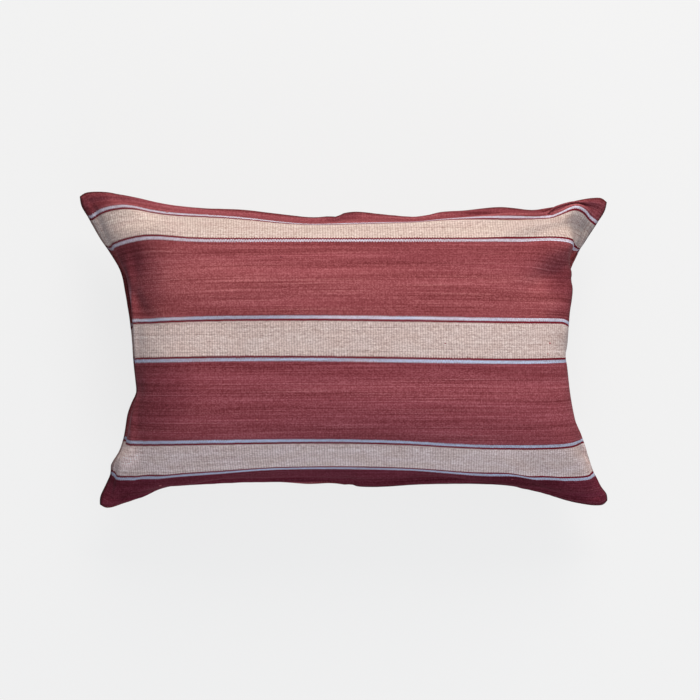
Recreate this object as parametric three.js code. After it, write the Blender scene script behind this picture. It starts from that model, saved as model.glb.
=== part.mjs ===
// A lumbar pillow: two panels of striped cloth sewn together along their four edges,
// filled until the faces crown and the sides draw in between the ears, lying on its back.
// Millimetres, X along the pillow, Y across it towards its upper edge, Z up.
// The origin is on the surface it lies on, under the middle of its outline.
import * as THREE from "three";
import { mergeGeometries, mergeVertices } from "three/addons/utils/BufferGeometryUtils.js";

// Driving dimensions
const LENGTH = 508; // over the ears, along X
const WIDTH = 305; // over the ears, along Y
const CROWN_HEIGHT = 134; // top of the front face above the surface below
const SEAM_HEIGHT = 60; // the seam's usual height, halfway along an edge
const BELLY_SINK = 18; // how far the back face would sag below that surface if nothing held it up
const BELLY_ROUNDING = 7; // the height within which the back face eases onto that surface

// The panels' fullness: a section rises as (1 - |s| ^ flatness) ^ steepness,
// where s runs from -1 at one seam to 1 at the other.
const FULLNESS = {
  lengthwise: { flatness: 2.4, steepness: 0.36 },
  crosswise: { flatness: 2.2, steepness: 0.68 },
};

// Cells of each panel, closer together towards the seams
const CELLS_ALONG = 60;
const CELLS_ACROSS = 36;
const EDGE_CROWDING = 0.55; // 0 is an even grid, 1 crowds the cells fully against the seams

// The four ears, where two seams meet
const EARS = {
  upperLeft: new THREE.Vector2(-253, 149),
  upperRight: new THREE.Vector2(253, 145),
  lowerLeft: new THREE.Vector2(-233.5, -150),
  lowerRight: new THREE.Vector2(253.5, -147),
};

// The seams between the ears, left to right or top to bottom, a row for each bend.
// along: share of the way between the two ears.
// drawn: how far the seam is pulled in from the straight line between them.
// lift: how far it rides above its usual height.
const UPPER_SEAM = [
  { along: 0, drawn: 0, lift: -16 },
  { along: 0.05, drawn: -4, lift: -13 },
  { along: 0.12, drawn: 2, lift: -6 },
  { along: 0.23, drawn: 10.5, lift: 0 },
  { along: 0.34, drawn: 13, lift: 1 },
  { along: 0.45, drawn: 18.5, lift: -2 },
  { along: 0.52, drawn: 13.5, lift: 3 },
  { along: 0.65, drawn: 17.5, lift: 0 },
  { along: 0.7, drawn: 12, lift: 2 },
  { along: 0.81, drawn: 7.5, lift: 0 },
  { along: 0.88, drawn: 9, lift: -5 },
  { along: 0.95, drawn: 0.5, lift: -11 },
  { along: 1, drawn: 0, lift: -14 },
];
const LOWER_SEAM = [
  { along: 0, drawn: 0, lift: -16 },
  { along: 0.03, drawn: -1.5, lift: -14 },
  { along: 0.08, drawn: 6.5, lift: -9 },
  { along: 0.13, drawn: 16.5, lift: -4 },
  { along: 0.24, drawn: 20.5, lift: 0 },
  { along: 0.37, drawn: 21, lift: 1 },
  { along: 0.46, drawn: 20, lift: 3 },
  { along: 0.52, drawn: 16, lift: -2 },
  { along: 0.65, drawn: 18.5, lift: 0 },
  { along: 0.77, drawn: 17, lift: 0 },
  { along: 0.85, drawn: 12, lift: -4 },
  { along: 0.93, drawn: 0, lift: -10 },
  { along: 0.97, drawn: -2.5, lift: -13 },
  { along: 1, drawn: 0, lift: -15 },
];
const LEFT_SEAM = [
  { along: 0, drawn: 0, lift: -16 },
  { along: 0.06, drawn: 3, lift: -12 },
  { along: 0.14, drawn: 16, lift: -7 },
  { along: 0.25, drawn: 33, lift: -3 },
  { along: 0.35, drawn: 36, lift: 1 },
  { along: 0.47, drawn: 39.5, lift: 0 },
  { along: 0.63, drawn: 40, lift: -2 },
  { along: 0.7, drawn: 32, lift: 0 },
  { along: 0.82, drawn: 21.5, lift: -5 },
  { along: 0.92, drawn: 6.5, lift: -11 },
  { along: 1, drawn: 0, lift: -16 },
];
const RIGHT_SEAM = [
  { along: 0, drawn: 0, lift: -14 },
  { along: 0.05, drawn: 3.5, lift: -12 },
  { along: 0.13, drawn: 18.5, lift: -8 },
  { along: 0.24, drawn: 33.5, lift: -5 },
  { along: 0.31, drawn: 31.5, lift: -1 },
  { along: 0.4, drawn: 37.5, lift: 1 },
  { along: 0.52, drawn: 40, lift: 0 },
  { along: 0.7, drawn: 31.5, lift: 0 },
  { along: 0.8, drawn: 21, lift: -5 },
  { along: 0.96, drawn: 2, lift: -12 },
  { along: 1, drawn: 0, lift: -15 },
];

// A smooth line through a seam's rows, from one ear to the other.
function seamCurve(from, to, inward, rows) {
  const points = rows.map(({ along, drawn, lift }) => {
    const place = from.clone().lerp(to, along).addScaledVector(inward, drawn);
    return new THREE.Vector3(place.x, place.y, SEAM_HEIGHT + lift);
  });
  return new THREE.CatmullRomCurve3(points, false, "centripetal");
}

const DOWN = new THREE.Vector2(0, -1);
const UP = new THREE.Vector2(0, 1);
const RIGHTWARDS = new THREE.Vector2(1, 0);
const LEFTWARDS = new THREE.Vector2(-1, 0);
const upper = seamCurve(EARS.upperLeft, EARS.upperRight, DOWN, UPPER_SEAM);
const lower = seamCurve(EARS.lowerLeft, EARS.lowerRight, UP, LOWER_SEAM);
const left = seamCurve(EARS.upperLeft, EARS.lowerLeft, RIGHTWARDS, LEFT_SEAM);
const right = seamCurve(EARS.upperRight, EARS.lowerRight, LEFTWARDS, RIGHT_SEAM);

// A point of the surface stretched between the four seams, where a and b run from 0 to 1
// along the pillow and down it.
function betweenSeams(a, b) {
  const sides = left.getPointAt(b).lerp(right.getPointAt(b), a);
  const edges = upper.getPointAt(a).lerp(lower.getPointAt(a), b);
  const top = upper.getPointAt(0).lerp(upper.getPointAt(1), a);
  const bottom = lower.getPointAt(0).lerp(lower.getPointAt(1), a);
  return sides.add(edges).sub(top.lerp(bottom, b));
}

// The share of the full height that a section has at s, from -1 to 1.
function fullness(s, { flatness, steepness }) {
  return Math.max(0, 1 - Math.abs(s) ** flatness) ** steepness;
}

// A grid line's place from 0 to 1, crowded towards both ends.
function crowded(index, count) {
  const even = index / count;
  const eased = (1 - Math.cos(Math.PI * even)) / 2;
  return THREE.MathUtils.lerp(even, eased, EDGE_CROWDING);
}

// A height that eases onto the surface below and never goes under it.
function settled(height) {
  if (height > BELLY_ROUNDING) return height;
  return Math.max(0, height + BELLY_ROUNDING) ** 2 / (4 * BELLY_ROUNDING);
}

// One face of the pillow: the front rises to the crown, and the back sinks to the surface,
// where it lies flat.
function panelPoint(a, b, front) {
  const point = betweenSeams(a, b);
  const swell =
    fullness(2 * a - 1, FULLNESS.lengthwise) * fullness(2 * b - 1, FULLNESS.crosswise);
  const full = front ? CROWN_HEIGHT : -BELLY_SINK;
  point.z = settled(THREE.MathUtils.lerp(point.z, full, swell));
  return point;
}

// The triangles of a panel. Each cell is split towards the middle of the pillow,
// so that no triangle lies wholly on a seam.
function panelTriangles(front) {
  const triangles = [];
  for (let row = 0; row < CELLS_ACROSS; row++) {
    for (let column = 0; column < CELLS_ALONG; column++) {
      const corner = row * (CELLS_ALONG + 1) + column;
      const beside = corner + 1;
      const below = corner + CELLS_ALONG + 1;
      const across = below + 1;
      const falling = column < CELLS_ALONG / 2 === row < CELLS_ACROSS / 2;
      const split = falling
        ? [corner, below, across, corner, across, beside]
        : [corner, below, beside, beside, below, across];
      triangles.push(...(front ? split : split.reverse()));
    }
  }
  return triangles;
}

function panel(front) {
  const positions = [];
  for (let row = 0; row <= CELLS_ACROSS; row++) {
    for (let column = 0; column <= CELLS_ALONG; column++) {
      const point = panelPoint(crowded(column, CELLS_ALONG), crowded(row, CELLS_ACROSS), front);
      positions.push(point.x, point.y, point.z);
    }
  }
  const geometry = new THREE.BufferGeometry();
  geometry.setAttribute("position", new THREE.Float32BufferAttribute(positions, 3));
  geometry.setIndex(panelTriangles(front));
  return geometry;
}

// The filled cover, one closed solid, set to its outer size and centred over the origin.
function cushionGeometry() {
  const geometry = mergeVertices(mergeGeometries([panel(true), panel(false)]));
  geometry.computeBoundingBox();
  const { min, max } = geometry.boundingBox;
  geometry.translate(-(min.x + max.x) / 2, -(min.y + max.y) / 2, 0);
  geometry.scale(LENGTH / (max.x - min.x), WIDTH / (max.y - min.y), 1);
  geometry.computeVertexNormals();
  return geometry;
}

const stripedCloth = new THREE.MeshStandardMaterial({
  name: "striped_cloth",
  color: new THREE.Color(0.3, 0.075, 0.085),
  roughness: 0.9,
  metalness: 0,
});

const cushion = new THREE.Mesh(cushionGeometry(), stripedCloth);
cushion.name = "cushion";

const pillow = new THREE.Group();
pillow.name = "lumbar_pillow";
pillow.add(cushion);

export default pillow;
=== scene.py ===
# %% [markdown]
# # A striped lumbar pillow
#
# The pillow is two oblongs of hand-woven striped cotton, sewn together along all four edges
# and stuffed. Everything that makes it look like a pillow follows from that: the faces crown,
# the sides draw in, and the corners, which hold the least filling, stay out as flat ears.
# So it is made here as it is made at a sewing table: cut flat, sewn, and then filled.

import math

import bpy
import numpy as np
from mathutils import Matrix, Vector


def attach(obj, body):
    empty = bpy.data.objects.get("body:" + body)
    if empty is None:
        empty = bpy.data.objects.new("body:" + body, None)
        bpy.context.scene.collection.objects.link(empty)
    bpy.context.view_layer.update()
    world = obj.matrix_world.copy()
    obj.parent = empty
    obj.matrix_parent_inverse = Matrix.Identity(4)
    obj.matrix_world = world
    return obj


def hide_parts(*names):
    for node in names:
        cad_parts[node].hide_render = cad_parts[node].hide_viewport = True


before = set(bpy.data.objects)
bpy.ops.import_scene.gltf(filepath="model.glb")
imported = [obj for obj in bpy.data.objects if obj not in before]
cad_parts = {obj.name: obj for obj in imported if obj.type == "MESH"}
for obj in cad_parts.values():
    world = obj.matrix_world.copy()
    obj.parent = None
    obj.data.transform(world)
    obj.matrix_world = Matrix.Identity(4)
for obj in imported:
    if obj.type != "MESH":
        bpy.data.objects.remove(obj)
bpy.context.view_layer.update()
MM = 0.001

# %% [markdown]
# ## The camera
#
# The photograph was taken straight down on the face of the pillow as it lay on its back.
# The pillow is 508 mm long and takes up three quarters of the picture, which gives the width
# that the picture covers. A long lens from far away keeps the ears and the crown to one scale.

# %% Look straight down
SEAM_HEIGHT = 60 * MM
PICTURE_WIDTH = 674.8 * MM  # what the picture covers, at the height of the seam
CAMERA_DISTANCE = 2.2
OFF_CENTRE = 6.75 * MM  # the pillow lies a little left of the middle of the picture

lens = bpy.data.cameras.new("photo_camera")
lens.sensor_width = 36
lens.lens = lens.sensor_width * CAMERA_DISTANCE / PICTURE_WIDTH
camera = bpy.data.objects.new("photo_camera", lens)
camera.location = (OFF_CENTRE, 0, SEAM_HEIGHT + CAMERA_DISTANCE)
bpy.context.scene.collection.objects.link(camera)
bpy.context.scene.camera = camera
print("camera height, m:", round(camera.location.z, 3))

# %% [markdown]
# ## The seam
#
# Filling pulls the long edges in a little and the short edges in a lot, and it pulls them
# unevenly, because hand-woven cloth gives more in one place than in another. The tables hold
# the bends of that line. Their places were measured on the photograph, and their heights, which
# a view straight down can't show, were judged. On the short edges, each row also says how far
# down the cloth it is, so that the stripes run into the seam where they should.

# %% Write down the bends of the four edges
CLOTH_LENGTH = 494 * MM
CLOTH_WIDTH = 326 * MM

UPPER_EDGE = [  # x, y, height in mm, from the left ear to the right one
    (-255.5, 149, 45), (-251, 152.2, 45), (-242, 153.5, 46), (-231.4, 153.3, 48), (-215, 150.4, 51),
    (-195.7, 146.5, 55), (-176.4, 141.7, 58), (-137.9, 136.9, 60), (-99.3, 135.4, 61),
    (-60.7, 131.1, 61), (-22.2, 128.2, 58), (-7.7, 130.1, 60), (6.7, 133, 63),
    (35.7, 131.1, 61), (74.2, 128.2, 60), (93.5, 133, 62), (112.8, 134, 62),
    (151.3, 137.9, 60), (189.9, 135.4, 57), (209.2, 139.8, 57), (228.5, 145, 54),
    (244, 147.5, 49), (251, 147.2, 47), (256, 143.5, 45),
]
LOWER_EDGE = [
    (-236, -150, 44), (-231, -153, 45), (-223, -152.3, 46), (-215, -149.4, 48),
    (-195.7, -142.7, 52), (-176.4, -133, 56), (-157.1, -131.1, 58), (-118.6, -128.2, 60),
    (-60.7, -127.2, 61), (-31.8, -129.2, 61), (-7.7, -128.2, 63), (6.7, -131.1, 58),
    (35.7, -132.1, 59), (64.6, -130.1, 60), (93.5, -129.2, 60), (132.1, -129.2, 60),
    (161, -131.1, 58), (189.9, -136.9, 55), (209.2, -143.6, 51), (228.5, -148.5, 48),
    (247, -150.8, 46), (253, -150, 45), (256.5, -146, 45),
]
LEFT_EDGE = [  # mm down the cloth, then x, y, height, from the upper ear to the lower one
    (0, -255.5, 149, 45), (6, -254.8, 142, 44), (19.3, -248.4, 130.1, 42), (46.4, -236, 108, 41),
    (64, -226.5, 94.5, 44), (87, -214, 73.3, 53), (102, -210.6, 57.8, 58),
    (135, -204.9, 24.1, 61), (179.3, -202, -13, 60), (206.8, -200.5, -40.5, 58),
    (227, -207.3, -59.8, 60), (252.6, -211.6, -83.9, 58), (295, -225.3, -120.5, 50),
    (312, -231.8, -134, 47), (320, -236, -143, 45), (326, -236, -150, 44),
]
RIGHT_EDGE = [
    (0, 256, 143.5, 45), (6, 255, 137, 43), (19.3, 248.5, 125.3, 38), (43, 237.5, 108, 35),
    (64, 228, 94, 38), (81.5, 217.5, 79, 46), (101.5, 215, 57.8, 53),
    (135, 212.5, 24.1, 57), (179.3, 210.5, -13.5, 57), (214.7, 215, -48.2, 57),
    (233, 220.8, -67.5, 57), (252.6, 230.9, -86.8, 56), (297.9, 245, -122.9, 49),
    (312, 252, -135, 47), (320, 256, -140, 46), (326, 256.5, -146, 45),
]
print("bends:", [len(edge) for edge in (UPPER_EDGE, LOWER_EDGE, LEFT_EDGE, RIGHT_EDGE)])

# %% [markdown]
# ## A smooth line through the bends
#
# A few bends with a curve through them are easier to mend than hundreds of points. The curve
# takes its direction at each bend from the neighbours on both sides, so it has no corners.
# A long edge is followed by its own length, and a short one by the cloth that runs into it.

# %% Draw the lines


def smooth_line(stations, points, wanted):
    """Points on a smooth line through the given ones, at the wanted stations along it."""
    slopes = np.gradient(points, stations, axis=0, edge_order=1)
    i = np.clip(np.searchsorted(stations, wanted) - 1, 0, len(stations) - 2)
    step = (stations[i + 1] - stations[i])[:, None]
    t = ((wanted - stations[i]) / (stations[i + 1] - stations[i]))[:, None]
    rise = points[i + 1] - points[i]
    bend = t * (1 - t)
    start_turn = slopes[i] * step - rise
    end_turn = rise - slopes[i + 1] * step
    return points[i] + rise * t + bend * ((1 - t) * start_turn + t * end_turn)


def long_edge(rows, wanted):
    """A long edge at shares of its own length from 0 to 1."""
    points = np.array(rows) * MM
    run = np.r_[0, np.cumsum(np.linalg.norm(np.diff(points, axis=0), axis=1))]
    return smooth_line(run / run[-1], points, wanted)


def short_edge(rows, wanted):
    """A short edge at shares of the cloth's width from 0 to 1."""
    table = np.array(rows) * MM
    return smooth_line(table[:, 0] / CLOTH_WIDTH, table[:, 1:], wanted)


for name, edge, rows in (("upper", long_edge, UPPER_EDGE), ("left", short_edge, LEFT_EDGE)):
    line = edge(rows, np.linspace(0, 1, 200))
    print(name, "edge, mm:", round(np.linalg.norm(np.diff(line, axis=0), axis=1).sum() / MM, 1))

# %% [markdown]
# ## Two panels, cut flat
#
# The panels are laid on each other and share the points along their edges, which is the sewing.
# Two separate meshes could be stitched by springs instead, but shared points can't come apart.
# The grid is closer near the edges, where the cloth has to turn and pucker.

# %% Rule the grid
CELLS_ALONG = 80
CELLS_ACROSS = 52
CROWDING = 0.5


def crowded(count):
    """Grid lines from 0 to 1, closer together at both ends."""
    even = np.linspace(0, 1, count + 1)
    return (1 - CROWDING) * even + CROWDING * (1 - np.cos(math.pi * even)) / 2


along, down = crowded(CELLS_ALONG), crowded(CELLS_ACROSS)
share_along, share_down = np.meshgrid(along, down)
flat = np.stack([
    (share_along - 0.5) * CLOTH_LENGTH,
    (0.5 - share_down) * CLOTH_WIDTH,
    np.full(share_along.shape, SEAM_HEIGHT),
], -1)

front_index = np.arange(share_along.size).reshape(share_along.shape)
inside = np.zeros(share_along.shape, bool)
inside[1:-1, 1:-1] = True
back_index = front_index.copy()
back_index[inside] = share_along.size + np.arange(inside.sum())
seam_points = front_index[~inside]
print("points along the seam:", len(seam_points))

# %% [markdown]
# ## Make the panels a mesh
#
# Each point keeps its place on the flat cloth as a texture coordinate in metres, so the stripes
# will be woven straight and follow every fold afterwards. It also keeps which panel it is on:
# 1 on the front, -1 on the back and 0 on the seam.

# %% Cut and sew the panels


def panel_faces(index):
    """Four-sided faces of a panel, seen from the front."""
    corners = (index[:-1, :-1], index[1:, :-1], index[1:, 1:], index[:-1, 1:])
    return np.stack(corners, -1).reshape(-1, 4)


def read(items, name, width, kind=float):
    """What Blender keeps under a name for every item, one row for each."""
    values = np.empty(len(items) * width, kind)
    items.foreach_get(name, values)
    return values.reshape(len(items), width).squeeze()


cloth_points = np.vstack([flat.reshape(-1, 3), flat[inside]])
faces = np.vstack([panel_faces(front_index), panel_faces(back_index)[:, ::-1]])
cover_mesh = bpy.data.meshes.new("cushion_cover")
cover_mesh.from_pydata(cloth_points.tolist(), [], faces.tolist())

on_cloth = cloth_points[:, :2] + (CLOTH_LENGTH / 2, CLOTH_WIDTH / 2)
cloth_map = cover_mesh.uv_layers.new(name="cloth")
cloth_map.data.foreach_set("uv", on_cloth[read(cover_mesh.loops, "vertex_index", 1, int)].ravel())

facing = np.r_[inside.ravel() * 1.0, -np.ones(inside.sum())]
side = cover_mesh.attributes.new("side", "FLOAT", "POINT")
side.data.foreach_set("value", facing)

cover = bpy.data.objects.new("cushion_cover", cover_mesh)
bpy.context.scene.collection.objects.link(cover)
print("cloth points:", len(cloth_points), "faces:", len(faces))

# %% [markdown]
# ## Where the stuffing presses
#
# The stuffing doesn't reach into the seams, so its pressure starts a little way in. It is greatest
# along the stuffing's own rim, which is why the face turns down there and runs straight to the
# seam. At the short sides it reaches closer, because there the cloth is drawn in over it.

# %% Say how much each point is stuffed
RIM = dict(starts=30 * MM, full=65 * MM, eases=85 * MM, level=130 * MM, middle=0.5)
CLOSER = dict(left=2.5, right=3.0, upper=1, lower=1)  # times closer to that side


def ramp(value, low, high):
    """0 below low, 1 above high, and smooth between them."""
    t = np.clip((value - low) / (high - low), 0, 1)
    return t * t * (3 - 2 * t)


def from_sides(place):
    """How far places on the flat cloth are from each of its sides."""
    u, v = place.T
    return dict(left=u, right=CLOTH_LENGTH - u, upper=CLOTH_WIDTH - v, lower=v)


from_side = from_sides(on_cloth)
from_seam = np.min(list(from_side.values()), axis=0)
into_stuffing = np.min([from_side[name] * CLOSER[name] for name in from_side], axis=0)
less_in_middle = 1 - (1 - RIM["middle"]) * ramp(into_stuffing, RIM["eases"], RIM["level"])
stuffed = ramp(into_stuffing, RIM["starts"], RIM["full"]) * less_in_middle
print("share of the points that are pressed:", round((stuffed > 0).mean(), 2))

# %% [markdown]
# ## Drawing the seam in
#
# The simulation starts from the flat panels, so the cloth knows its cut size. The seam is pinned,
# and a shape key carries it from the straight cut edge to the line in the tables, slowly enough
# for the cloth to follow.

# %% Carry the seam from flat to sewn
FRAMES = 36
SEWN_BY = 15

sewn = np.zeros_like(flat)
sewn[0], sewn[-1] = long_edge(UPPER_EDGE, along), long_edge(LOWER_EDGE, along)
sewn[:, 0], sewn[:, -1] = short_edge(LEFT_EDGE, down), short_edge(RIGHT_EDGE, down)

cover.shape_key_add(name="flat", from_mix=False)
drawn_in = cover.shape_key_add(name="drawn_in", from_mix=False)
target = cloth_points.copy()
target[seam_points] = sewn[~inside]
drawn_in.data.foreach_set("co", target.ravel())
for value, at in ((0, 1), (1, SEWN_BY)):
    drawn_in.value = value
    drawn_in.keyframe_insert("value", frame=at)

cover.vertex_groups.new(name="seam").add(seam_points.tolist(), 1.0, "REPLACE")
stuffing = cover.vertex_groups.new(name="stuffing")
for point, amount in enumerate(stuffed.tolist()):
    stuffing.add([point], amount, "REPLACE")
drawn = np.linalg.norm(target - cloth_points, axis=1).max()
print("furthest that the seam is drawn, mm:", round(drawn / MM, 1))

# %% [markdown]
# ## Filling it
#
# A cloth simulation does what the filling does: pressure inside blows the panels up while the seam
# is drawn in. Its result is then kept as plain points, and the simulation is taken off, because
# the pillow has to look the same at every frame.

# %% Stuff the cover
CLOTH = dict(
    quality=6, mass=0.0003,
    tension_stiffness=3, compression_stiffness=3, shear_stiffness=1,
    bending_model="ANGULAR", bending_stiffness=0.2,
    tension_damping=5, compression_damping=5, shear_damping=5,
    use_pressure=True, uniform_pressure_force=90, vertex_group_pressure="stuffing",
    vertex_group_mass="seam", pin_stiffness=1,
)


def evaluated(piece):
    """The piece as its modifiers make it now."""
    return piece.evaluated_get(bpy.context.evaluated_depsgraph_get())


filling = cover.modifiers.new("filling", "CLOTH")
for setting, value in CLOTH.items():
    setattr(filling.settings, setting, value)
filling.settings.effector_weights.gravity = 0
filling.collision_settings.use_collision = False
filling.point_cache.frame_start = 1
filling.point_cache.frame_end = FRAMES

for moment in range(1, FRAMES + 1):
    bpy.context.scene.frame_set(moment)
points = read(evaluated(cover).to_mesh().vertices, "co", 3)
cover.modifiers.remove(filling)
cover.shape_key_clear()
bpy.context.scene.frame_set(1)
heights = points[:, 2] / MM
print("filled, mm: lowest", round(heights.min(), 1), "highest", round(heights.max(), 1))

# %% [markdown]
# ## Patting the sides
#
# A real stuffing is not a gas: it doesn't push the sides far past their own seam, so what bulges
# beyond the line is patted back. On the left, it is patted back to just inside the seam.
# The patting sets in softly, because a hard stop would leave a crease along the side.

# %% Pat the sides in
BULGE = dict(left=-4 * MM, right=6 * MM, upper=1 * MM, lower=1 * MM)
PAT_SOFTNESS = 3 * MM
SIDES = [  # name, its seam, the axis it faces along, and which way
    ("left", sewn[:, 0], 0, -1),
    ("right", sewn[:, -1], 0, 1),
    ("upper", sewn[0], 1, 1),
    ("lower", sewn[-1], 1, -1),
]


def held_back(past, most):
    """How far past a line something still is, after it is eased back to the most allowed."""
    return most - PAT_SOFTNESS * np.log1p(np.exp((most - past) / PAT_SOFTNESS))


loose = np.setdiff1d(np.arange(len(points)), seam_points)
for name, seam_line, axis, way in SIDES:
    order = np.argsort(seam_line[:, 1 - axis])
    line = np.interp(points[loose, 1 - axis], seam_line[order, 1 - axis], seam_line[order, axis])
    past = way * (points[loose, axis] - line)
    points[loose, axis] = line + way * held_back(past, BULGE[name])
print("patted, mm: long", round(np.ptp(points[:, 0]) / MM, 1), "wide", round(np.ptp(points[:, 1]) / MM, 1))

# %% [markdown]
# ## Plumping and pinching
#
# Loose filling lies in lumps, so the front is fuller in one place and falls away in another.
# Each row of the first table is one such place, set against the photograph. The second table draws the
# cloth in beside a seam, where the turned-back edges hold it.

# %% Plump the front and pinch it beside the seams
PLUMPED = [  # x, y, reach along, reach across, then dx, dy, dz, all in mm
    (-190, 106, 34, 16, 0, 5, 4),
    (-206, 136, 30, 12, 0, 5, 3),
    (-60, 122, 70, 9, 0, -2.5, 0),
    (200, 104, 36, 16, 0, 6, 4),
    (206, 93, 16, 26, 2, 0, 10),
    (212, 95, 9, 18, 6, 0, 6),
    (226, 130, 15, 13, 0, 9, 8),
    (224, 100, 6, 15, 0, 0, -14),
    (-202, 2, 24, 85, 0, 0, -12),
    (206, 20, 10, 50, 0, 0, -4),
    (198, 66, 15, 17, 0, 0, -6),
    (217, 58, 9, 18, 3.5, 0, 3),
]
PINCHED = [  # side, mm from the seam, reach, how far the cloth is drawn in there
    ("upper", 17, 12, 3.3),
    ("right", 9, 6, 1.5),
]
LUMPS_START = (1 * MM, 18 * MM)  # from no lump at the seam to all of it
PINCH_STARTS = (0, 4 * MM)
PINCH_LEAVES_EARS = (25 * MM, 70 * MM)


def hump(distance, at, width, height):
    """A smooth rise around one distance."""
    return height * np.exp(-(((distance - at) / width) ** 2))


is_front = facing > 0.5
moves = np.zeros_like(points)
for at_x, at_y, along_reach, across_reach, *move in PLUMPED:
    near = hump(points[:, 0], at_x * MM, along_reach * MM, 1)
    near = near * hump(points[:, 1], at_y * MM, across_reach * MM, 1)
    lump = is_front * ramp(from_seam, *LUMPS_START) * near
    moves += lump[:, None] * np.array(move) * MM

facings = {name: (axis, way) for name, seam_line, axis, way in SIDES}
for name, at, reach, most in PINCHED:
    axis, way = facings[name]
    ends = ("left", "right") if axis else ("upper", "lower")
    from_ears = np.minimum(from_side[ends[0]], from_side[ends[1]])
    pinch = hump(from_side[name], at * MM, reach * MM, most * MM)
    pinch = pinch * ramp(from_ears, *PINCH_LEAVES_EARS) * ramp(from_side[name], *PINCH_STARTS)
    moves[:, axis] -= way * is_front * pinch
points = points + moves
print("furthest that a point was moved, mm:", round(np.linalg.norm(moves, axis=1).max() / MM, 1))

# %% [markdown]
# ## Lying on its back
#
# The pillow's own weight flattens its belly where it lies. Heights near the surface ease onto it
# along a curve, instead of going below it.

# %% Settle the belly
BELLY_ROUNDING = 7 * MM

before = points[:, 2].copy()
settled = np.clip(before + BELLY_ROUNDING, 0, None) ** 2 / (4 * BELLY_ROUNDING)
points[:, 2] = np.where(before > BELLY_ROUNDING, before, settled)
cover_mesh.vertices.foreach_set("co", points.ravel())
cover_mesh.update()
print("height, mm:", round(np.ptp(points[:, 2]) / MM, 1))

# %% [markdown]
# ## A finer cloth
#
# Ridges and puckers along the seam are too small for the simulation's grid, so the cloth is divided
# once more. The seam's edges are marked as creases first. Without that, the division would
# round the seam off and the pillow would shrink.

# %% Divide the cloth
edge_ends = read(cover_mesh.edges, "vertices", 2, int)
sewn_edges = np.isin(edge_ends, seam_points).all(axis=1)
sharp = cover_mesh.attributes.new("crease_edge", "FLOAT", "EDGE")
sharp.data.foreach_set("value", sewn_edges.astype(float))

finer = cover.modifiers.new("finer", "SUBSURF")
finer.levels = finer.render_levels = 1
finer.uv_smooth = "NONE"
smooth_mesh = bpy.data.meshes.new_from_object(evaluated(cover))
cover.modifiers.remove(finer)
cover.data = smooth_mesh
bpy.data.meshes.remove(cover_mesh)
smooth_mesh.name = "cushion_cover"
smooth_mesh.shade_smooth()

points = read(smooth_mesh.vertices, "co", 3)
normals = read(smooth_mesh.vertex_normals, "vector", 3)
facing = read(smooth_mesh.attributes["side"].data, "value", 1)
on_cloth = np.empty((len(points), 2))
corner_points = read(smooth_mesh.loops, "vertex_index", 1, int)
on_cloth[corner_points] = read(smooth_mesh.uv_layers["cloth"].data, "uv", 2)
from_side = from_sides(on_cloth)
from_seam = np.min(list(from_side.values()), axis=0)
print("cover triangles:", 2 * len(smooth_mesh.polygons))

# %% [markdown]
# ## Seam allowance and gathers
#
# Inside the pillow, the cut edges lie turned back along the seam. They make a low ridge a few
# millimetres in from it, with a shallow valley behind. The seam also gathers a little.
# At the left end the cloth rolls over the filling, which gives a second low ridge.

# %% Raise the ridges and gather the seam
RIDGE = dict(at=4.5 * MM, width=2.4 * MM, height=1.4 * MM)
VALLEY = dict(at=10 * MM, width=4 * MM, height=-1.0 * MM)
ROLL = dict(at=36 * MM, width=4 * MM, height=1.2 * MM)
ROLL_VALLEY = dict(at=45 * MM, width=6 * MM, height=-1.0 * MM)
ROLL_LEAVES_EARS = (50 * MM, 90 * MM)
GATHER = dict(at=9 * MM, width=8 * MM, height=0.35 * MM)
GATHER_STEP = 6 * MM

chance = np.random.default_rng(7)
stops = np.arange(0, CLOTH_LENGTH + GATHER_STEP, GATHER_STEP)
gathers = chance.uniform(-1, 1, (2, len(stops)))
from_long_edge = np.minimum(from_side["upper"], from_side["lower"])
from_short_edge = np.minimum(from_side["left"], from_side["right"])
gather = np.where(
    from_long_edge < from_short_edge,
    np.interp(from_side["left"], stops, gathers[0]),
    np.interp(from_side["lower"], stops, gathers[1]),
)

push = hump(from_seam, **RIDGE) + hump(from_seam, **VALLEY) + gather * hump(from_seam, **GATHER)
roll = hump(from_side["left"], **ROLL) + hump(from_side["left"], **ROLL_VALLEY)
push += roll * ramp(from_long_edge, *ROLL_LEAVES_EARS)
print("pushed along the normals, mm:", round(push.min() / MM, 1), "to", round(push.max() / MM, 1))

# %% [markdown]
# ## Creases
#
# A few short folds show on the front, most of them where an ear turns into the full part.
# Each is a line that is deep where it starts and gone where it ends. One is a ridge,
# so its depth is below zero.

# %% Press the creases in
CREASES = [  # from x, y to x, y in mm, then width and depth
    (191, 140, 206, 127, 5, 4.5),
    (222, 80, 221, 112, 6, 3.0),
    (8.5, -133, 1, -114, 3.5, 1.6),
    (-6, 131, -14, 121, 4, 1.8),
    (-199, -41, -184, -33, 6, 1.5),
    (221, 68, 200, 60, 5, 2.0),
    (-222, -112, -184, -86, 6, -3.0),
]


def crease(place, x0, y0, x1, y1, width, depth):
    """How far a fold pushes the cloth in, deepest where it starts and gone where it ends."""
    start, run = np.array((x0, y0)) * MM, np.array((x1 - x0, y1 - y0)) * MM
    t = (place - start) @ run / (run @ run)
    aside = np.linalg.norm(place - start - np.clip(t, 0, 1)[:, None] * run, axis=1)
    return -depth * MM * np.exp(-((aside / (width * MM)) ** 2)) * (1 - ramp(t, 0.2, 1.0))


front_or_seam = facing > -0.05
for fold in CREASES:
    push += front_or_seam * crease(points[:, :2], *fold)
points = points + normals * push[:, None]
smooth_mesh.vertices.foreach_set("co", points.ravel())
smooth_mesh.update()
print("creases:", len(CREASES))

# %% [markdown]
# ## Arithmetic with shader nodes
#
# The weave is a formula, and a formula is easier to read as arithmetic than as nodes.
# A Wire is one output of a node. Adding or multiplying wires makes the math nodes.

# %% A small helper for shader maths


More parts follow.
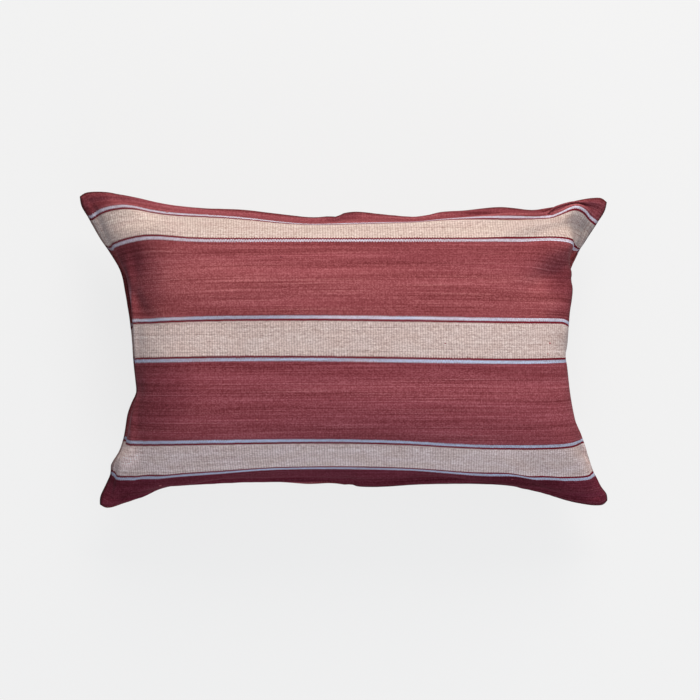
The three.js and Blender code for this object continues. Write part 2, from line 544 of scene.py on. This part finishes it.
class Wire:
    def __init__(self, tree, socket=None):
        self.tree, self.socket = tree, socket

    def make(self, kind, inputs, output=0, **settings):
        """Any node of the tree, with its inputs by name or number."""
        node = self.tree.nodes.new(kind)
        for name, value in settings.items():
            setattr(node, name, value)
        for name, value in inputs.items():
            if isinstance(value, Wire):
                self.tree.links.new(value.socket, node.inputs[name])
            else:
                node.inputs[name].default_value = value
        return Wire(self.tree, node.outputs[output])

    def math(self, operation, *values):
        return self.make("ShaderNodeMath", dict(enumerate(values)), operation=operation)

    def __add__(self, other):
        return self.math("ADD", self, other)

    def __sub__(self, other):
        return self.math("SUBTRACT", self, other)

    def __rsub__(self, other):
        return self.math("SUBTRACT", other, self)

    def __mul__(self, other):
        return self.math("MULTIPLY", self, other)

    def __truediv__(self, other):
        return self.math("DIVIDE", self, other)

    def __pow__(self, other):
        return self.math("POWER", self, other)

    __radd__ = __add__
    __rmul__ = __mul__

    def step(self, low, high):
        """0 below low, 1 above high, and smooth between them."""
        inputs = {"Value": self, "From Min": low, "From Max": high}
        return self.make("ShaderNodeMapRange", inputs, interpolation_type="SMOOTHSTEP")

    def mix(self, colour_0, colour_1):
        """The first colour where this is 0, and the second where it is 1."""
        inputs = {0: self, 6: colour_0, 7: colour_1}
        return self.make("ShaderNodeMix", inputs, output=2, data_type="RGBA")

    def noise(self, across, up, detail=2.0, seed=0.0):
        """Noise on the cloth, with that many grains to the metre each way."""
        inputs = {0: self, 1: (across, up, 0), 2: (seed, seed, seed)}
        place = self.make("ShaderNodeVectorMath", inputs, operation="MULTIPLY_ADD")
        return self.make("ShaderNodeTexNoise", {"Vector": place, "Scale": 1.0, "Detail": detail})

    def feed(self, node, name):
        """Lead this into an input of a node that is already there."""
        self.tree.links.new(self.socket, node.inputs[name])


def new_material(name, constants):
    """A material and its shader, with the values that are the same all over the surface."""
    material = bpy.data.materials.new(name)
    material.use_nodes = True
    shader = material.node_tree.nodes["Principled BSDF"]
    for socket, value in constants.items():
        shader.inputs[socket].default_value = value
    return material, shader


print("a wire can: add, subtract, multiply, divide, take a power, step, mix, make noise, feed a node")

# %% [markdown]
# ## Threads and ribs
#
# Threads run along the stripes, and where they pass over and under the other set they make ribs
# that run across. Both waver, because they were spun by hand. Every crossing is a
# little lighter or darker than the next, which is what makes cloth look grainy up close.

# %% Lay the threads
RIB = 2.4 * MM
THREAD = 0.95 * MM

weave, skin = new_material("striped_cloth", {
    "Roughness": 0.9, "Specular IOR Level": 0.06, "Sheen Weight": 0.02, "Sheen Roughness": 0.5,
})
spot = Wire(weave.node_tree).make("ShaderNodeUVMap", {}, "UV", uv_map="cloth")
across = spot.make("ShaderNodeSeparateXYZ", {0: spot}, "X")
up = spot.make("ShaderNodeSeparateXYZ", {0: spot}, "Y")

rib_turn = (across + (spot.noise(60, 30) - 0.5) * 1.6 * MM) / RIB
rib = spot.math("COSINE", rib_turn * (2 * math.pi)) * 0.5 + 0.5
thread_turn = (up + (spot.noise(30, 200, seed=3.0) - 0.5) * 0.8 * MM) / THREAD
thread = spot.math("COSINE", thread_turn * (2 * math.pi)) * 0.5
crossing = spot.make("ShaderNodeCombineXYZ", {
    "X": spot.math("FLOOR", rib_turn * 2),
    "Y": spot.math("FLOOR", thread_turn),
})
grain = spot.make("ShaderNodeTexWhiteNoise", {"Vector": crossing}, noise_dimensions="2D")
print("ribs along the cloth:", round(CLOTH_LENGTH / RIB))

# %% [markdown]
# ## Streaks
#
# Hand-spun yarn is thick and thin and takes the dye unevenly. As each thread runs the whole length
# of the cloth, that shows as long streaks. They are noise that is stretched along the thread:
# few grains to the metre along it, and many across it. Row grain and patches are shorter.

# %% Streak the yarn
fine_streak = spot.noise(10, 800, 2) - 0.5
broad_streak = spot.noise(4, 130, 2, seed=4.0) - 0.5
long_thread = spot.noise(2.5, 480, 1, seed=19.0) - 0.5
row_grain = spot.noise(200, 900, 1, seed=17.0) - 0.5
patch = spot.noise(25, 25, 2, seed=6.0) - 0.5
lit_thread = spot.noise(7, 800, 1, seed=9.0).step(0.60, 0.70)
dark_thread = spot.noise(5, 700, 1, seed=12.0).step(0.66, 0.74)
print("nodes in the weave so far:", len(weave.node_tree.nodes))

# %% [markdown]
# ## The order of the stripes
#
# Bands of cream lie between red ones. Each cream band is edged by a dark red line of a few threads
# and then by a lavender stripe. The bands are listed as the loom wove them, from the upper edge down.

# %% Set up the loom
BANDS = [  # from the upper edge down: yarn, mm of cloth
    ("brick", 19), ("cream", 30.1), ("brick", 73.5), ("ecru", 32.5),
    ("madder", 74.4), ("chalk", 32.8), ("wine", 30.1),
]
BORDER = [("dark", 0.5), ("lavender", 2.95), ("dark", 2.1)]  # its last line lies by the pale band
PALE = ("cream", "ecru", "chalk")

stripes = []
for yarn, mm in BANDS:
    if stripes:
        stripes += BORDER if yarn in PALE else BORDER[::-1]
    stripes.append((yarn, mm))
edges_mm = (CLOTH_WIDTH / MM - np.cumsum([0] + [mm for yarn, mm in stripes])).tolist()
print("stripes:", len(stripes), "cloth left over, mm:", round(edges_mm[-1], 1))

# %% [markdown]
# ## Bowed stripes
#
# Hand-woven stripes are never quite straight. These bow a little over the whole length, and
# in three places, found on the photograph, they stray further down. Their
# edges step from rib to rib, but less so at the right end, where the cloth is pulled smooth.

# %% Bend the stripes and find their edges
STRAYS = [  # mm along and down the cloth, reach each way, and how far the stripes stray down there
    (405, 250, 120, 24, 2.4),
    (305, 28, 150, 20, 4.5),
    (488, 139, 34, 16, 2.6),
]
BOW = 3 * MM
PULLED_SMOOTH = (340 * MM, 440 * MM)
SOFT = 0.15 * MM


def close_to(along_mm, down_mm, reach_along, reach_down):
    """1 at a place on the cloth, easing to 0 at its reach."""
    aside = (across - along_mm * MM) / (reach_along * MM)
    below = (up - CLOTH_WIDTH + down_mm * MM) / (reach_down * MM)
    return 1 - (aside * aside + below * below).step(0, 1)


bow = spot.math("SINE", across * (2 * math.pi / CLOTH_LENGTH)) * (1 - up / CLOTH_WIDTH) * BOW
for *place, stray in STRAYS:
    bow = bow - close_to(*place) * stray * MM
teeth = (rib - 0.5) * 1.1 + (spot.noise(250, 60, 1, seed=2.0) - 0.5) * 0.9
level = up - bow + teeth * (1 - across.step(*PULLED_SMOOTH) * 0.75) * MM


def between(low_mm, high_mm):
    """1 on the stripe between two levels, with soft edges."""
    over = level.step(low_mm * MM - SOFT, low_mm * MM + SOFT)
    return over * (1 - level.step(high_mm * MM - SOFT, high_mm * MM + SOFT))


print("places where the stripes stray:", len(STRAYS))

# %% [markdown]
# ## The yarns
#
# The red yarns have paler threads among them. The pale yarns lie in open ribs, with darker gaps between.
# The lavender is painted warmer towards the upper edge, where the warm key light falls on it: painted
# light. Most of this is mixed by the threads, ribs and streaks from above, so that it reads as yarn and
# not as paint.

# %% Dye the yarns
YARN = {
    "brick": (0.35, 0.081, 0.093, 1),
    "madder": (0.315, 0.067, 0.084, 1),
    "wine": (0.118, 0.0135, 0.027, 1),
    "dark": (0.19, 0.014, 0.026, 1),
    "lavender": (0.49, 0.515, 0.665, 1),
    "lavender_in_warm_light": (0.63, 0.56, 0.66, 1),
    "cream": (0.711, 0.566, 0.507, 1),
    "ecru": (0.736, 0.588, 0.554, 1),
    "oat": (0.715, 0.545, 0.50, 1),
    "chalk": (0.811, 0.638, 0.621, 1),
    "gap": (0.40, 0.25, 0.22, 1),
    "painted_roll_highlight": (0.66, 0.37, 0.44, 1),
}
LIT = {
    "brick": (0.49, 0.155, 0.16, 1),
    "madder": (0.44, 0.13, 0.15, 1),
    "wine": (0.17, 0.035, 0.052, 1),
}
PAINTED_WARM_LIGHT_FROM = 195 * MM

lit = lit_thread * 0.7 + (grain - 0.5) * 0.5 + fine_streak * 1.5 + (rib - 0.5) * 0.1 + 0.1
gap = (1 - rib) ** 2.5 * (spot.noise(70, 260, 2, seed=8.0) * 0.4 + 0.32)
oaty = spot.noise(40, 90, 1, seed=5.0).step(0.35, 0.65) * 0.6
# painted warm light on the lavender towards the upper edge
painted_warm_light = (spot.noise(14, 60, 1, seed=15.0) + (up - PAINTED_WARM_LIGHT_FROM) * 3.0).step(0.42, 0.62)


def spun(yarn):
    """The colour of a yarn, thread by thread."""
    if yarn in LIT:
        return lit.mix(YARN[yarn], LIT[yarn])
    if yarn in PALE:
        return gap.mix(oaty.mix(YARN[yarn], YARN["oat"]), YARN["gap"])
    if yarn == "lavender":
        return painted_warm_light.mix(YARN["lavender"], YARN["lavender_in_warm_light"])
    return YARN[yarn]


print("yarns:", len(YARN))

# %% [markdown]
# ## Weaving the stripes
#
# The cloth starts all in the first yarn, and each stripe is laid over it. On the way, the loop keeps where
# the pale yarn is, where the thin borders are, and where a wide band comes near its own edges. The wide
# bands are darker there, partly from darker yarn and partly from painted shade where the face turns away
# from the light.

# %% Weave
WIDE_MM = 60
FADES_OVER = 18 * MM

colour = spun(stripes[0][0])
pale, trim, edge_dye_and_shade = 0.0, 0.0, 0.0
for number, (yarn, mm) in enumerate(stripes[1:], 1):
    top_mm, bottom_mm = edges_mm[number], edges_mm[number + 1]
    stripe = between(bottom_mm, top_mm)
    colour = stripe.mix(colour, spun(yarn))
    if yarn in PALE:
        pale = pale + stripe
    elif yarn not in LIT:
        trim = trim + stripe
    # darker near a wide band's edges: darker yarn and painted shade
    if mm > WIDE_MM:
        middle = (top_mm * MM - level).step(0, FADES_OVER) * (level - bottom_mm * MM).step(0, FADES_OVER)
        edge_dye_and_shade = edge_dye_and_shade + stripe * (1 - middle)
dyed = 1 - pale - trim
print("stripes of cloth, mm:", round(sum(mm for yarn, mm in stripes), 1))

# %% [markdown]
# ## Light and dark yarn, painted shade and a painted highlight
#
# The streaks and the grain now make the yarn lighter and darker. Shade is also painted on: a dark line
# along every seam, and a darker flange on the dyed yarn at the short sides, where the cloth turns down
# away from the light. Along the roll at the left end, a painted highlight stands in for the sheen on the
# roll's edge and makes the dyed yarn pale.

# %% Shade the yarn
# painted shade along every seam and on the flange at the short sides
SEAM_SHADE = 2.5 * MM
FLANGE = (3 * MM, 10 * MM)
FLANGE_LEAVES_EARS = (35 * MM, 60 * MM)
FLANGE_STRONGER = (150 * MM, 200 * MM)  # going up the cloth
# a painted highlight along the roll at the left end, standing in for its sheen
PAINTED_HIGHLIGHT = dict(at=30 * MM, all_within=1 * MM, gone_by=6 * MM)
PAINTED_HIGHLIGHT_FROM = (70 * MM, 110 * MM)
PAINTED_HIGHLIGHT_TO = (205 * MM, 245 * MM)

dyed_shade = 0.96 + fine_streak + broad_streak * 0.95 + (grain - 0.5) * 0.4 + (rib - 0.5) * 0.06
pale_shade = 1.04 + fine_streak * 0.6 + row_grain * 0.9 + patch * 0.08 + (grain - 0.5) * 0.4
pale_shade = pale_shade - dark_thread * 0.25 + long_thread * 0.5
shade = dyed_shade + (pale_shade - dyed_shade) * pale

beside_short = spot.math("MINIMUM", across, CLOTH_LENGTH - across)
beside_long = spot.math("MINIMUM", up, CLOTH_WIDTH - up)
# painted shade on the flange, where the cloth turns down to the seam
flange_shade = (1 - beside_short.step(*FLANGE)) * beside_long.step(*FLANGE_LEAVES_EARS)
flange_shade = flange_shade * (1 - pale) * (0.3 + up.step(*FLANGE_STRONGER) * 0.7)
# painted shade in a thin line along every seam
into_seam = spot.math("MINIMUM", beside_short, beside_long).step(0, SEAM_SHADE)
shade = shade * (1 - flange_shade * 0.4) * (0.45 + into_seam * 0.55) * (1.03 - edge_dye_and_shade * 0.17)
shade = spot.math("MAXIMUM", shade, 0.05)

# painted highlight on the dyed yarn along the roll
from_roll = spot.math("ABSOLUTE", across - PAINTED_HIGHLIGHT["at"])
painted_roll_highlight = (1 - from_roll.step(PAINTED_HIGHLIGHT["all_within"], PAINTED_HIGHLIGHT["gone_by"])) * dyed
painted_roll_highlight = painted_roll_highlight * up.step(*PAINTED_HIGHLIGHT_FROM) * (1 - up.step(*PAINTED_HIGHLIGHT_TO))
colour = (painted_roll_highlight * (0.6 + broad_streak * 0.8)).mix(colour, YARN["painted_roll_highlight"])
print("nodes in the weave so far:", len(weave.node_tree.nodes))

# %% [markdown]
# ## Places painted darker or lighter: painted shade and light
#
# Broad soft places are painted darker or lighter on the cloth. Most of them are painted shade, where the
# face turns away from the light or lies under a fold, and painted light, where a fold or an ear catches
# it; a few of the lighter ones are broad streaks of the yarn. Their places, reaches and strengths were set
# against the photograph. Below zero they are lighter. Each shows on one kind of yarn alone, so that a
# place in a red band doesn't spill onto the cream beside it.

# %% Paint the shade and light onto the cloth
PAINTED_SHADE_AND_LIGHT = {  # mm along and down the cloth, reach each way, and how much darker
    "dyed": [
        (40, 95, 42, 60, 0.28),
        (36, 74, 28, 28, 0.38),
        (55, 200, 60, 60, 0.27),
        (474, 98, 46, 30, 0.48),
        (482, 132, 54, 20, 0.42),
        (390, 76, 160, 24, 0.20),
        (340, 204, 200, 13, -0.16),
        (120, 96, 70, 24, -0.16),
        (220, 72, 150, 20, 0.12),
        (247, 6, 320, 18, 0.22),
        (8, 12, 26, 20, 0.40),
        (55, 6, 50, 16, 0.18),
        (245, 4, 22, 12, 0.30),
        (385, 4, 46, 9, 0.18),
        (440, 6, 44, 14, 0.28),
        (486, 10, 20, 20, 0.32),
        (150, 304, 90, 24, -0.28),
        (400, 304, 66, 16, 0.25),
        (278, 303, 42, 14, -0.25),
        (468, 302, 32, 12, -0.25),
        (8, 314, 18, 16, -0.45),
        (486, 314, 18, 16, -0.4),
    ],
    "pale": [
        (488, 40, 18, 26, 0.32),
        (440, 37, 80, 26, 0.08),
        (484, 157, 50, 24, 0.28),
        (450, 270, 50, 26, 0.10),
        (90, 157, 70, 26, -0.10),
        (45, 37, 34, 20, -0.18),
        (24, 268, 28, 18, -0.25),
    ],
}
shows_on = {"dyed": dyed, "pale": pale}
# painted shade, and painted light where a place is below zero
painted_shade_and_light = 1.0
for kind, places in PAINTED_SHADE_AND_LIGHT.items():
    for *place, darker in places:
        painted_shade_and_light = painted_shade_and_light * (1 - close_to(*place) * shows_on[kind] * darker)
print("places:", {kind: len(places) for kind, places in PAINTED_SHADE_AND_LIGHT.items()})

# %% [markdown]
# ## Finishing the cloth
#
# Dyed yarn that is darker, where it took more dye and where shade is painted on it, loses green and blue
# first and red last. Painted shade on the pale yarn turns it a little bluer, as under the bluish fill
# light. A plain multiply would leave it greyish, so each of the three colours has its own power.
# The bump holds only what is finer than the mesh: threads, ribs and grain.

# %% Finish the cloth
# painted shade deepens the dyed yarn and turns the pale yarn bluer
tint = spot.make("ShaderNodeCombineXYZ", {
    "X": shade ** (0.77 + pale * 0.03) * painted_shade_and_light ** (0.90 + pale * 0.15),
    "Y": shade ** 1.05 * painted_shade_and_light ** (1.25 - pale * 0.25),
    "Z": shade ** 1.10 * painted_shade_and_light ** (1.05 - pale * 0.12),
})
colour = spot.make("ShaderNodeVectorMath", {0: colour, 1: tint}, operation="MULTIPLY")
colour.feed(skin, "Base Color")

relief = rib * (0.25 + pale * 0.25) + thread * 0.25 + (grain - 0.5) * 0.5 + fine_streak * 1.2
bump = spot.make("ShaderNodeBump", {"Height": relief, "Strength": 0.6, "Distance": 0.25 * MM})
bump.feed(skin, "Normal")
cover.data.materials.append(weave)
print("nodes in the weave:", len(weave.node_tree.nodes))

# %% [markdown]
# ## Slubs
#
# Hand-spun yarn has knots in it, and here and there one stands out of the cloth as a small nub.
# They repeat, so a node tree scatters them: points on the cover, a squashed ball on each,
# turned to lie along the thread. The tree's inputs say how many and how big.

# %% Dye the slubs and name the tree's inputs
nub, nub_skin = new_material("slub", {"Roughness": 0.95, "Specular IOR Level": 0.06})
each = Wire(nub.node_tree).make("ShaderNodeNewGeometry", {}, "Random Per Island")
each.step(0.35, 0.4).mix(YARN["madder"], LIT["brick"]).feed(nub_skin, "Base Color")

scatter = bpy.data.node_groups.new("slubs", "GeometryNodeTree")
scatter.interface.new_socket("Cover", in_out="INPUT", socket_type="NodeSocketGeometry")
wanted = {}
for name, kind, value in (
    ("Slubs to the square metre", "NodeSocketFloat", 160.0),
    ("Smallest", "NodeSocketFloat", 0.35 * MM),
    ("Largest", "NodeSocketFloat", 0.9 * MM),
    ("Seed", "NodeSocketInt", 11),
):
    socket = scatter.interface.new_socket(name, in_out="INPUT", socket_type=kind)
    wanted[socket.identifier] = value
scatter.interface.new_socket("Slubs", in_out="OUTPUT", socket_type="NodeSocketGeometry")
print("inputs:", list(wanted.values()))

# %% [markdown]
# ## Scattering them
#
# The points come with a rotation that stands each ball on the cloth. It is turned about that
# standing direction until the ball's long side lies along the stripes. The result is
# made real and kept as a plain mesh, because the export drops instances.

# %% Scatter the slubs
given = Wire(scatter).make("NodeGroupInput", {}, "Cover")
ask = {socket.name: Wire(scatter, socket) for socket in given.socket.node.outputs if socket.name}
dots = given.make("GeometryNodeDistributePointsOnFaces", {
    "Mesh": ask["Cover"], "Density": ask["Slubs to the square metre"], "Seed": ask["Seed"],
}, "Points")
standing = Wire(scatter, dots.socket.node.outputs["Rotation"])
turn = given.make("FunctionNodeAlignRotationToVector", {
    "Rotation": standing, "Vector": (1, 0, 0),
}, axis="X", pivot_axis="Z")
size = given.make("FunctionNodeRandomValue", {
    2: ask["Smallest"], 3: ask["Largest"], "Seed": ask["Seed"],
}, 1)
shape = given.make("ShaderNodeCombineXYZ", {"X": size * 1.8, "Y": size, "Z": size * 0.7})
ball = given.make("GeometryNodeMeshIcoSphere", {"Radius": 1.0, "Subdivisions": 2})
nubs = given.make("GeometryNodeInstanceOnPoints", {
    "Points": dots, "Instance": ball, "Rotation": turn, "Scale": shape,
})
nubs = given.make("GeometryNodeRealizeInstances", {"Geometry": nubs})
nubs = given.make("GeometryNodeSetMaterial", {"Geometry": nubs, "Material": nub})
nubs.feed(scatter.nodes.new("NodeGroupOutput"), "Slubs")

slubs = bpy.data.objects.new("slubs", cover.data.copy())
bpy.context.scene.collection.objects.link(slubs)
scattering = slubs.modifiers.new("slubs", "NODES")
scattering.node_group = scatter
for identifier, value in wanted.items():
    scattering[identifier] = value
slub_mesh = bpy.data.meshes.new_from_object(evaluated(slubs))
slubs.modifiers.remove(scattering)
slubs.data = slub_mesh
slub_mesh.shade_smooth()
print("slub triangles:", len(slub_mesh.polygons))

# %% [markdown]
# ## The floor
#
# The pillow lies on a plain pale sheet that is nearly as bright as the picture can be. A white
# sheet under strong light would do that, but it would also throw much light up under the
# pillow. So the sheet is grey and glows by itself, and light that bounces off the cloth doesn't see it.

# %% Lay the floor
FLOOR_BELOW = 0.5 * MM  # keeps the flat belly and the sheet from lying in one plane

bpy.ops.mesh.primitive_plane_add(size=12, location=(0, 0, -FLOOR_BELOW))
floor = bpy.context.object
floor.name = "table"
floor.visible_diffuse = False
paper, paper_skin = new_material("paper", {
    "Base Color": (0.11, 0.11, 0.11, 1), "Roughness": 1,
    "Emission Color": (1, 1, 1, 1), "Emission Strength": 0.785,
})
floor.data.materials.append(paper)
print("floor:", floor.name)

# %% [markdown]
# ## The light
#
# A big soft warm light stands low beyond the upper edge, so the pillow's face darkens from top to
# bottom. A weaker bluish one stands on the other side. The room gives an even light that is
# dimmer from below, which keeps the underside of the edges dark.

# %% Light the pillow
ROOM_BELOW = (0.11, 0.11, 0.12, 1)
ROOM_ABOVE = (0.30, 0.32, 0.35, 1)
LIGHTS = [  # name, place in metres, size, watts, colour
    ("key", (0.45, 1.85, 1.15), 1.2, 41, (1, 0.93, 0.85)),
    ("fill", (0.6, -1.9, 0.8), 1.2, 15, (0.86, 0.93, 1)),
]

world = bpy.data.worlds.new("room")
world.use_nodes = True
direction = Wire(world.node_tree).make("ShaderNodeTexCoord", {}, "Generated")
upward = direction.make("ShaderNodeSeparateXYZ", {0: direction}, "Z")
upward.step(-0.3, 0.3).mix(ROOM_BELOW, ROOM_ABOVE).feed(world.node_tree.nodes["Background"], "Color")
bpy.context.scene.world = world

for name, stand, width, watts, light_colour in LIGHTS:
    light = bpy.data.lights.new(name, "AREA")
    light.size, light.energy, light.color = width, watts, light_colour
    holder = bpy.data.objects.new(name, light)
    holder.location = stand
    holder.rotation_euler = (-Vector(stand)).to_track_quat("-Z", "Y").to_euler()
    bpy.context.scene.collection.objects.link(holder)
bpy.context.scene.view_settings.view_transform = "Standard"
print("lights:", [name for name, *rest in LIGHTS])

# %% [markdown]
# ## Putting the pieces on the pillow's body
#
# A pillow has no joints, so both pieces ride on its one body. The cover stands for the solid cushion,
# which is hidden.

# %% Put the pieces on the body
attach(cover, "root")
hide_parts("cushion")
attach(slubs, "root")
